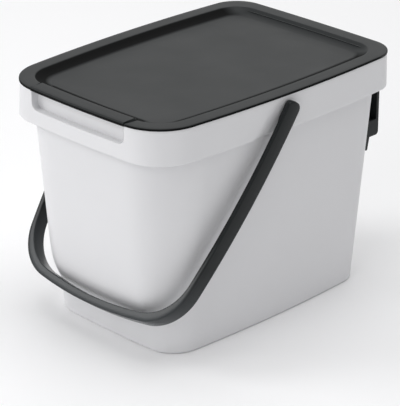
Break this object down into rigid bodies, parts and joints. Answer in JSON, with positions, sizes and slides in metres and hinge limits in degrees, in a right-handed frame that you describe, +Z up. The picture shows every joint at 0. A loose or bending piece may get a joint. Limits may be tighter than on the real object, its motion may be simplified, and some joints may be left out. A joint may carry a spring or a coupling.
{
  "type": "compost bin",
  "caption": "Tapered countertop compost bin with a dished lift-off lid, a swinging bail handle and a screw-on hanger hooked under its rear rim.",
  "frame": {"origin": "middle of the base on the worktop", "axes": "+Z up, +Y towards the hanger at the back, -Y towards the finger pocket, +X along the width"},
  "size_m": [0.2026, 0.2722, 0.2049],
  "materials": {
    "white_plastic": "satin",
    "dark_plastic": "matte"
  },
  "bodies": {
    "container": {"container": "white_plastic"},
    "lid": {"lid": "dark_plastic"},
    "bail": {"bail_handle": "dark_plastic"},
    "hanger": {"wall_hanger": "dark_plastic"}
  },
  "joints": [
    {"name": "lid_lift", "type": "slide", "parent": "container", "child": "lid", "axis": [0, 0, 1], "range_m": [0, 0.12]},
    {"name": "bail_swing", "type": "hinge", "parent": "container", "child": "bail", "pos_m": [0, 0, 0.1916], "axis": [-1, 0, 0], "range_deg": [0, 275]},
    {"name": "hanger_slide", "type": "slide", "parent": "container", "child": "hanger", "axis": [0, 0, -1], "range_m": [0, 0.045]}
  ]
}
